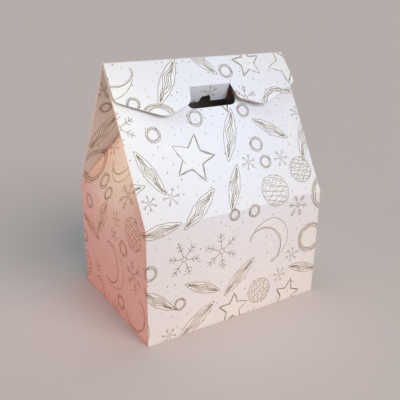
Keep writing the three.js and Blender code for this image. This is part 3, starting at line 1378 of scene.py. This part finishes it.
    def run_tree(
        self, carrier: bpy.types.Object, tree: bpy.types.NodeTree, values: dict
    ) -> list[Polygon]:
        """Run a node tree on a carrier object and read the flat faces that it makes.

        Args:
            carrier: The object whose mesh feeds the tree.
            tree: The node tree.
            values: The tree's inputs by name.

        Returns:
            The faces, as outlines in millimetres on the unfolded sheet.
        """
        modifier = carrier.modifiers.new("print", "NODES")
        modifier.node_group = tree
        for item in tree.interface.items_tree:
            if item.in_out == "INPUT" and item.name in values:
                modifier[item.identifier] = values[item.name]
        bpy.context.view_layer.update()
        graph = bpy.context.evaluated_depsgraph_get()
        mesh = bpy.data.meshes.new_from_object(carrier.evaluated_get(graph))
        carrier.modifiers.clear()
        spots = [(v.co.x / MM, v.co.y / MM) for v in mesh.vertices]
        faces = [[spots[i] for i in face.vertices] for face in mesh.polygons]
        bpy.data.meshes.remove(mesh)
        return faces

    def spot_facts(self) -> tuple[tuple[str, str], ...]:
        """List the names and kinds of the facts that each spot carries."""
        return (("number", "INT"), ("turn", "FLOAT"), ("size", "FLOAT"))

    def spot_carrier(self) -> bpy.types.Object:
        """Make the object that carries one point for each drawing, with its facts as attributes.

        Returns:
            The object.
        """
        spots = self.spots()
        carrier = mesh_object("print_spots", [Vector((s.u, s.v, 0)) * MM for s in spots], [], [])
        for label, kind in self.spot_facts():
            facts = carrier.data.attributes.new(label, kind, "POINT")
            facts.data.foreach_set("value", [getattr(s, label) for s in spots])
        return carrier

    def drawing_objects(self) -> tuple[bpy.types.Collection, bpy.types.Collection]:
        """Draw every variant of every motif.

        Returns:
            Collections of the lines, as curves, and of the washes, as meshes.
        """
        lines = bpy.data.collections.new("motif_lines")
        washes = bpy.data.collections.new("motif_washes")
        for group in (lines, washes):
            bpy.context.scene.collection.children.link(group)
        for k, motif in enumerate(Motif):
            for variant in range(self.variants):
                label = f"{k * self.variants + variant:02d}"
                seed = self.pen_seed + self.pen_seed_step * k + variant
                drawing = MotifPen(seed).draw(motif)
                curve = bpy.data.curves.new(f"line_{label}", "CURVE")
                curve.dimensions = "3D"
                for stroke in drawing.strokes:
                    spline = curve.splines.new("POLY")
                    spline.points.add(len(stroke) - 1)
                    for point, (x, y) in zip(spline.points, stroke):
                        point.co = (x * MM, y * MM, 0, 1)
                lines.objects.link(bpy.data.objects.new(f"line_{label}", curve))
                mesh = bpy.data.meshes.new(f"wash_{label}")
                corners = [Vector((x, y, 0)) * MM for quad in drawing.wash for x, y in quad]
                faces, start = [], 0
                for quad in drawing.wash:
                    faces.append(tuple(range(start, start + len(quad))))
                    start += len(quad)
                mesh.from_pydata(corners, [], faces)
                washes.objects.link(bpy.data.objects.new(f"wash_{label}", mesh))
        return lines, washes

    def flat_print(self, stock: CardStock) -> dict[str, list[Polygon]]:
        """Make the whole print on the unfolded sheet.

        Args:
            stock: The inks.

        Returns:
            The flat faces of the lines, the washes and the specks.
        """
        carrier = self.spot_carrier()
        lines, washes = self.drawing_objects()
        line_faces = self.run_tree(carrier, self.ink_tree("print_lines", True), {
            "Drawings": lines, "Line width": self.line_width * MM, "Ink": stock.line,
        })
        wash_faces = self.run_tree(
            carrier, self.ink_tree("print_washes", False), {"Drawings": washes, "Ink": stock.wash}
        )
        corners = [(0, 0), (self.width, 0), (self.width, self.height), (0, self.height)]
        places = [Vector((u, v, 0)) * MM for u, v in corners]
        sheet = mesh_object("print_sheet", places, [(0, 1, 2, 3)], [])
        speck_faces = self.run_tree(sheet, self.speck_tree(), {
            "Spacing": self.speck_spacing * MM, "Speck radius": self.speck_radius * MM,
            "Seed": self.seed, "Ink": stock.line,
        })
        for group in (lines, washes):
            for drawing in list(group.objects):
                bpy.data.objects.remove(drawing)
            bpy.data.collections.remove(group)
        for helper in (carrier, sheet):
            bpy.data.objects.remove(helper)
        return {"lines": line_faces, "washes": wash_faces, "specks": speck_faces}


@dataclass
class Print:
    """Folds the flat print with the card, region by region.

    Its lifts over the card, its trims at the edges and its other sizes are in millimetres.
    """

    box: Box
    shell: CartonShell
    flap: ClosingFlap
    tongue: LockingTongue
    stock: CardStock
    layout: PrintLayout = field(default_factory=PrintLayout)
    wash_lift: float = 0.02
    line_lift: float = 0.04
    trim: float = 0.15
    ground_trim: float = 0.3
    ridge_trim: float = 0.3
    crease_trim: float = 0.2
    tongue_top: float = 0.15
    tongue_side: float = 1.5
    fold_trim: float = 1.0
    flank_foot: float = 4.0
    tip_half: float = 0.3
    weld: float = 0.002

    @staticmethod
    def hole_span(hole: Polygon, x: float, slack: float = 1e-4) -> Point2:
        """Find where the hand hole starts and ends at one place across it.

        Args:
            hole: Its outline, as x and distance up the slope.
            x: The place across it.
            slack: How far the place may be off, as it is rounded.

        Returns:
            The lowest and the highest distance up the slope.
        """
        ups = []
        for (x0, u0), (x1, u1) in zip(hole, hole[1:] + hole[:1]):
            if not min(x0, x1) - slack <= x <= max(x0, x1) + slack:
                continue
            if abs(x1 - x0) < TINY:
                ups += [u0, u1]
            else:
                ups.append(u0 + (u1 - u0) * (x - x0) / (x1 - x0))
        return min(ups), max(ups)

    def roof_cells(self, at: float, flip: bool, top: float) -> list[Polygon]:
        """Split a roof panel round its hand hole into cells of the unfolded sheet.

        Args:
            at: The sheet's u at the panel's middle.
            flip: Whether the sheet's u runs against x, as it does on the rear panel.
            top: Length of the panel up its slope.

        Returns:
            The panel's convex cells.
        """
        b, t = self.box, self.trim
        hole = self.shell.hole()
        xs = sorted({round(x, 4) for x, _ in hole})
        spans = [(x, *self.hole_span(hole, x)) for x in xs]
        low = [(x, start - t) for x, start, _ in spans]
        high = [(x, end + t) for x, _, end in spans]
        w = b.half_width - t
        cells = columns([(x, t) for x in xs], low)
        cells += columns(high, [(x, top - t) for x in xs])
        for x0, x1 in ((-w, xs[0] - t), (xs[-1] + t, w)):
            cells.append([(x0, t), (x1, t), (x1, top - t), (x0, top - t)])
        moved = [[(at + (-x if flip else x), b.shoulder + up) for x, up in cell] for cell in cells]
        return [cell[::-1] for cell in moved] if flip else moved

    def wall_cell(self, u0: float, u1: float) -> Polygon:
        """Lay out the cell of one wall."""
        t, low, high = self.trim, self.ground_trim, self.box.shoulder - self.trim
        return [(u0 + t, low), (u1 - t, low), (u1 - t, high), (u0 + t, high)]

    def fold_gusset(self, side: int, u0: float, u: float, v: float, out: float) -> Vector:
        """Fold a point of the sheet into the leaning triangle of an end.

        Args:
            side: -1 for the left end and 1 for the right one.
            u0: The sheet's u at the end's first corner.
            u: The point's u.
            v: The point's v.
            out: Its height off the outer face.

        Returns:
            The point in millimetres.
        """
        b = self.box
        y = (u0 + b.half_depth - u) if side < 0 else (u - u0 - b.half_depth)
        s, c = math.sin(b.lean), math.cos(b.lean)
        rise = v - b.shoulder
        return Vector((side * (b.half_width - rise * s + out * c), y, b.shoulder + rise * c + out * s))

    def fold_flank(self, side: int, front: bool, u0: float, u: float, v: float, out: float) -> Vector:
        """Fold a point of the sheet into a flank, which lies back against a roof panel's inside.

        Args:
            side: -1 for the left end and 1 for the right one.
            front: Whether the flank lies against the front panel.
            u0: The sheet's u at the end's first corner.
            u: The point's u.
            v: The point's v.
            out: Its height off the outer face.

        Returns:
            The point in millimetres.
        """
        b = self.box
        away = (u - u0) if (side < 0) != front else (u0 + 2 * b.half_depth - u)
        return self.shell.roof_point(
            side * (b.half_width - away), v - b.shoulder, -b.fold_depth - out, front
        )

    def end_regions(self, side: int, u0: float) -> list[PrintRegion]:
        """Lay out the regions of one gusseted end.

        Args:
            side: -1 for the left end and 1 for the right one.
            u0: The sheet's u at the end's first corner.

        Returns:
            The triangle and its two flanks.
        """
        b = self.box
        h, d = b.shoulder, b.half_depth
        slant, upright = math.sin(b.lean), math.cos(b.lean)
        top = (self.shell.flank_top - h) / upright
        inset = b.fold_depth / upright + self.crease_trim
        reach, low, high = top * slant, h + self.crease_trim, h + top
        triangle = [
            (u0 + inset, low), (u0 + 2 * d - inset, low),
            (u0 + d + max(self.tip_half, d - inset - reach), high), (u0 + inset + reach, high),
        ]
        start = u0 + self.fold_trim
        first = [
            (start, h + self.flank_foot),
            (start + self.crease_trim + (top - self.flank_foot) * slant, high), (start, high),
        ]
        last = [(2 * u0 + 2 * d - x, y) for x, y in reversed(first)]
        return [
            PrintRegion([triangle], partial(self.fold_gusset, side, u0)),
            PrintRegion([first], partial(self.fold_flank, side, side > 0, u0)),
            PrintRegion([last], partial(self.fold_flank, side, side < 0, u0)),
        ]

    def hanging_cells(
        self, edge: list[Point2], gap: float, middle: float, crease: float
    ) -> list[Polygon]:
        """Split a flap that follows the rear column of the sheet into convex cells.

        Args:
            edge: Its free edge, as x and distance down from its crease.
            gap: Distance that the cells keep from the crease.
            middle: The sheet's u at the column's middle.
            crease: The sheet's v at the crease.

        Returns:
            The cells.
        """
        return [
            self.left_turning([(middle - x, crease + y) for x, y in cell])
            for cell in columns([(x, gap) for x, _ in edge], edge)
        ]

    def regions(self) -> dict[tuple[str, str], list[PrintRegion]]:
        """Lay out every printed region of the sheet.

        Returns:
            The regions by their body and its material slot.
        """
        b, shell = self.box, self.shell
        w, d, h = b.half_width, b.half_depth, b.shoulder
        left, front, right, rear = 0.0, 2 * d, 2 * d + 2 * w, 4 * d + 2 * w
        middle, ridge_v = rear + w, h + b.slope
        tongue_v = ridge_v + b.tongue_drop
        walls = (
            (left, front, lambda u, v, o: Vector((-w - o, d - u, v))),
            (front, right, lambda u, v, o: Vector((u - front - w, -d - o, v))),
            (right, rear, lambda u, v, o: Vector((w + o, u - right - d, v))),
            (rear, rear + 2 * w, lambda u, v, o: Vector((middle - u, d + o, v))),
        )
        carton = [PrintRegion([self.wall_cell(u0, u1)], fold) for u0, u1, fold in walls]
        carton += [
            PrintRegion(
                self.roof_cells(front + w, False, b.slope - b.front_top_gap),
                lambda u, v, o: shell.roof_point(u - front - w, v - h, o, True),
            ),
            PrintRegion(
                self.roof_cells(middle, True, b.slope - self.ridge_trim),
                lambda u, v, o: shell.roof_point(middle - u, v - h, o, False),
            ),
            *self.end_regions(-1, left),
            *self.end_regions(1, right),
        ]
        flap_edge = [(x, y - self.trim) for x, y in self.flap.edge()]
        tongue_edge = [
            (x, max(y - self.trim, self.crease_trim)) for x, y in self.tongue.lower_edge()
            if abs(x) < b.tongue_end_half - self.tongue_side
        ]
        flap = PrintRegion(
            self.hanging_cells(flap_edge, self.ridge_trim, middle, ridge_v),
            lambda u, v, o: self.flap.place(middle - u, v - ridge_v, o),
        )
        tongue = PrintRegion(
            self.hanging_cells(tongue_edge, self.tongue_top, middle, tongue_v),
            lambda u, v, o: self.tongue.place(middle - u, v - tongue_v, o),
        )
        return {
            ("carton", "carton_card"): carton,
            ("closing_flap", "flap_card"): [flap],
            ("locking_tongue", "tongue_card"): [tongue],
        }

    @staticmethod
    def left_turning(shape: Polygon) -> Polygon:
        """Give a polygon's corners in anticlockwise order."""
        area = sum(p[0] * q[1] - q[0] * p[1] for p, q in zip(shape, shape[1:] + shape[:1]))
        return shape if area > 0 else shape[::-1]

    @staticmethod
    def faces_out(region: PrintRegion) -> bool:
        """Tell whether an anticlockwise face of the sheet still faces outwards once folded.

        Args:
            region: The region that it is folded into.

        Returns:
            Whether it does.
        """
        cell, step = region.cells[0], 0.5
        u, v = (sum(p[axis] for p in cell) / len(cell) for axis in (0, 1))
        here = region.fold(u, v, 0.0)
        across, along = region.fold(u + step, v, 0.0) - here, region.fold(u, v + step, 0.0) - here
        return across.cross(along).dot(region.fold(u, v, 1.0) - here) > 0

    def fold_into(
        self, region: PrintRegion, faces: list[Polygon], lift: float,
        points: list[Vector], made: list[tuple[int, ...]],
    ) -> None:
        """Cut flat faces to a region, fold them into place and add them to a piece of ink.

        Args:
            region: The region.
            faces: Flat faces on the unfolded sheet, anticlockwise.
            lift: Height of the ink over the card in millimetres.
            points: Corners of the piece, in metres, that get the new ones.
            made: Corner numbers of the piece's faces, that get the new ones.
        """
        step = 1 if self.faces_out(region) else -1
        reaches = [self.reach(cell) for cell in region.cells]
        for face in faces:
            u0, v0, u1, v1 = self.reach(face)
            for (cu0, cv0, cu1, cv1), cell in zip(reaches, region.cells):
                if u1 < cu0 or u0 > cu1 or v1 < cv0 or v0 > cv1:
                    continue
                kept = clip(face, cell)
                if len(kept) < 3:
                    continue
                start = len(points)
                points += [region.fold(u, v, lift) * MM for u, v in kept]
                made.append(tuple(range(start, start + len(kept)))[::step])

    @staticmethod
    def reach(shape: Polygon) -> tuple[float, float, float, float]:
        """Find the lowest u and v and the highest u and v of a polygon."""
        us, vs = [p[0] for p in shape], [p[1] for p in shape]
        return min(us), min(vs), max(us), max(vs)

    def build(self) -> list[tuple[bpy.types.Object, str, str]]:
        """Build the print: one piece of wash and one of lines for each body.

        Returns:
            Each piece that holds any ink, with its body and its material slot.
        """
        flat = {
            label: [self.left_turning(face) for face in faces]
            for label, faces in self.layout.flat_print(self.stock).items()
        }
        layers = (
            ("wash", flat["washes"], self.wash_lift, self.stock.wash),
            ("lines", flat["lines"] + flat["specks"], self.line_lift, self.stock.line),
        )
        done = []
        for (body, slot), regions in self.regions().items():
            for label, faces, lift, ink in layers:
                points: list[Vector] = []
                made: list[tuple[int, ...]] = []
                for region in regions:
                    self.fold_into(region, faces, lift, points, made)
                if not made:
                    continue
                piece = mesh_object(f"print_{label}_{body}", points, made, [ink])
                mesh = bmesh.new()
                mesh.from_mesh(piece.data)
                bmesh.ops.remove_doubles(mesh, verts=mesh.verts, dist=self.weld * MM)
                mesh.to_mesh(piece.data)
                mesh.free()
                done.append((piece, body, slot))
        return done


def hang_light(
    name: str, kind: str, tone: tuple[float, float, float], power: float, back: Vector
) -> bpy.types.Object:
    """Add one light at the origin.

    Args:
        name: The light's name.
        kind: Blender's name of the kind of light.
        tone: Its colour in linear light.
        power: Its power, in the unit of its kind.
        back: The way from what it lights to where it hangs.

    Returns:
        The light.
    """
    data = bpy.data.lights.new(name, kind)
    data.color = tone
    data.energy = power
    lamp = bpy.data.objects.new(name, data)
    lamp.rotation_euler = back.to_track_quat("Z", "Y").to_euler()
    bpy.context.scene.collection.objects.link(lamp)
    return lamp


@dataclass(frozen=True)
class DistantLight:
    """A soft light so far off that it comes from the same side everywhere."""

    name: str
    towards: tuple[float, float, float]
    tone: tuple[float, float, float]
    power: float
    spread: float

    def hang(self) -> None:
        """Add the light. Its power is its irradiance, and its spread its apparent size in degrees."""
        lamp = hang_light(self.name, "SUN", self.tone, self.power, Vector(self.towards))
        lamp.data.angle = math.radians(self.spread)


@dataclass(frozen=True)
class LightPanel:
    """A square light near the object, with its middle, its aim and its side in millimetres."""

    name: str
    place_mm: tuple[float, float, float]
    aim_mm: tuple[float, float, float]
    tone: tuple[float, float, float]
    power: float
    size_mm: float
    beam: float

    def hang(self) -> None:
        """Add the light. Its power is in watts, and its beam in degrees."""
        back = Vector(self.place_mm) - Vector(self.aim_mm)
        lamp = hang_light(self.name, "AREA", self.tone, self.power, back)
        lamp.location = Vector(self.place_mm) * MM
        lamp.data.size = self.size_mm * MM
        lamp.data.spread = math.radians(self.beam)


@dataclass
class Studio:
    """The camera at the photograph's place, soft lights and a plain pale floor.

    The camera's angles are in degrees, and its sensor in millimetres.
    """

    azimuth: float = -32.52
    elevation: float = 21.10
    roll: float = 0.76
    distance_mm: float = 799.2
    target_mm: tuple[float, float, float] = (52.1, 78.5, 84.0)
    focal_px: float = 553.9
    frame_px: float = 400.0
    sensor: float = 36.0
    clip_m: tuple[float, float] = (0.02, 100.0)
    sky_tone: tuple[float, float, float, float] = (1.0, 0.97, 0.95, 1.0)
    sky_strength: float = 0.06
    floor_half_m: float = 60.0
    floor_drop_m: float = 0.0002
    lights: tuple[DistantLight | LightPanel, ...] = (
        DistantLight("front_softbox", (0.2, -0.85, 0.5), (1.0, 0.865, 0.81), power=1.93, spread=50),
        DistantLight("top_softbox", (0.0, 0.1, 1.0), (0.72, 0.93, 1.0), power=1.0, spread=50),
        LightPanel(
            "front_cool_softbox", (220, -1050, 720), (10, -50, 235), (0.1, 0.5, 1.0),
            power=0.075, size_mm=200, beam=22,
        ),
        DistantLight("left_warm_card", (-1.0, 0.0, 0.04), (1.0, 0.11, 0.0), power=1.36, spread=11),
        LightPanel(
            "left_grid_softbox", (-430, -60, 440), (-100, 0, 200), (0.85, 1.0, 0.75),
            power=0.019, size_mm=100, beam=23,
        ),
        LightPanel(
            "low_warm_card", (-150, -700, 40), (20, -90, 30), (1.0, 0.5, 0.25),
            power=0.010, size_mm=150, beam=30,
        ),
    )

    def camera(self) -> None:
        """Set the camera where the photograph was taken from."""
        a, e, r = (math.radians(v) for v in (self.azimuth, self.elevation, self.roll))
        back = Vector((math.sin(a) * math.cos(e), -math.cos(a) * math.cos(e), math.sin(e)))
        level = (-back).cross(Vector((0, 0, 1))).normalized()
        upright = level.cross(-back)
        right = level * math.cos(r) + upright * math.sin(r)
        up = upright * math.cos(r) - level * math.sin(r)
        data = bpy.data.cameras.new("photo_camera")
        data.lens = self.sensor * self.focal_px / self.frame_px
        data.sensor_width = self.sensor
        data.clip_start, data.clip_end = self.clip_m
        camera = bpy.data.objects.new("photo_camera", data)
        turn = Matrix((right, up, back)).transposed().to_4x4()
        place = (Vector(self.target_mm) + back * self.distance_mm) * MM
        camera.matrix_world = Matrix.Translation(place) @ turn
        bpy.context.scene.collection.objects.link(camera)
        bpy.context.scene.camera = camera

    def build(self) -> None:
        """Set up the camera, the lights, the surroundings and the floor."""
        self.camera()
        bpy.context.scene.view_settings.view_transform = "Standard"
        for light in self.lights:
            light.hang()
        world = bpy.data.worlds.new("studio_surroundings")
        world.use_nodes = True
        sky = world.node_tree.nodes["Background"]
        sky.inputs["Color"].default_value = self.sky_tone
        sky.inputs["Strength"].default_value = self.sky_strength
        bpy.context.scene.world = world
        signs = ((-1, -1), (1, -1), (1, 1), (-1, 1))
        corners = [
            Vector((x * self.floor_half_m, y * self.floor_half_m, -self.floor_drop_m)) for x, y in signs
        ]
        floor = mesh_object("studio_floor", corners, [(0, 1, 2, 3)], [STUDIO_PAINT.make()])


def report(piece: bpy.types.Object, body: str) -> None:
    """Report one finished piece and the body that it rides on."""
    LOG.info("%s: %s, %d faces", body, piece.name, len(piece.data.polygons))


def main() -> None:
    """Build the carton, its flap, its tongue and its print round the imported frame."""
    logging.basicConfig(level=logging.INFO, format="%(message)s")
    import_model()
    Studio().build()
    box, stock = Box(), CardStock()
    shell = CartonShell(box, stock)
    pieces = shell.build()
    for piece in pieces:
        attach(piece, "carton")
        report(piece, "carton")
    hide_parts("carton")
    flap = ClosingFlap(box, stock)
    flap_piece = flap.build()
    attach(flap_piece, "closing_flap")
    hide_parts("closing_flap")
    report(flap_piece, "closing_flap")
    tongue = LockingTongue(box, stock)
    tongue_piece = tongue.build()
    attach(tongue_piece, "locking_tongue")
    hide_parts("locking_tongue")
    report(tongue_piece, "locking_tongue")
    for piece, body, slot in Print(box, shell, flap, tongue, stock).build():
        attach(piece, body)
        report(piece, body)
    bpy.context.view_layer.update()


if __name__ == "__main__":
    main()
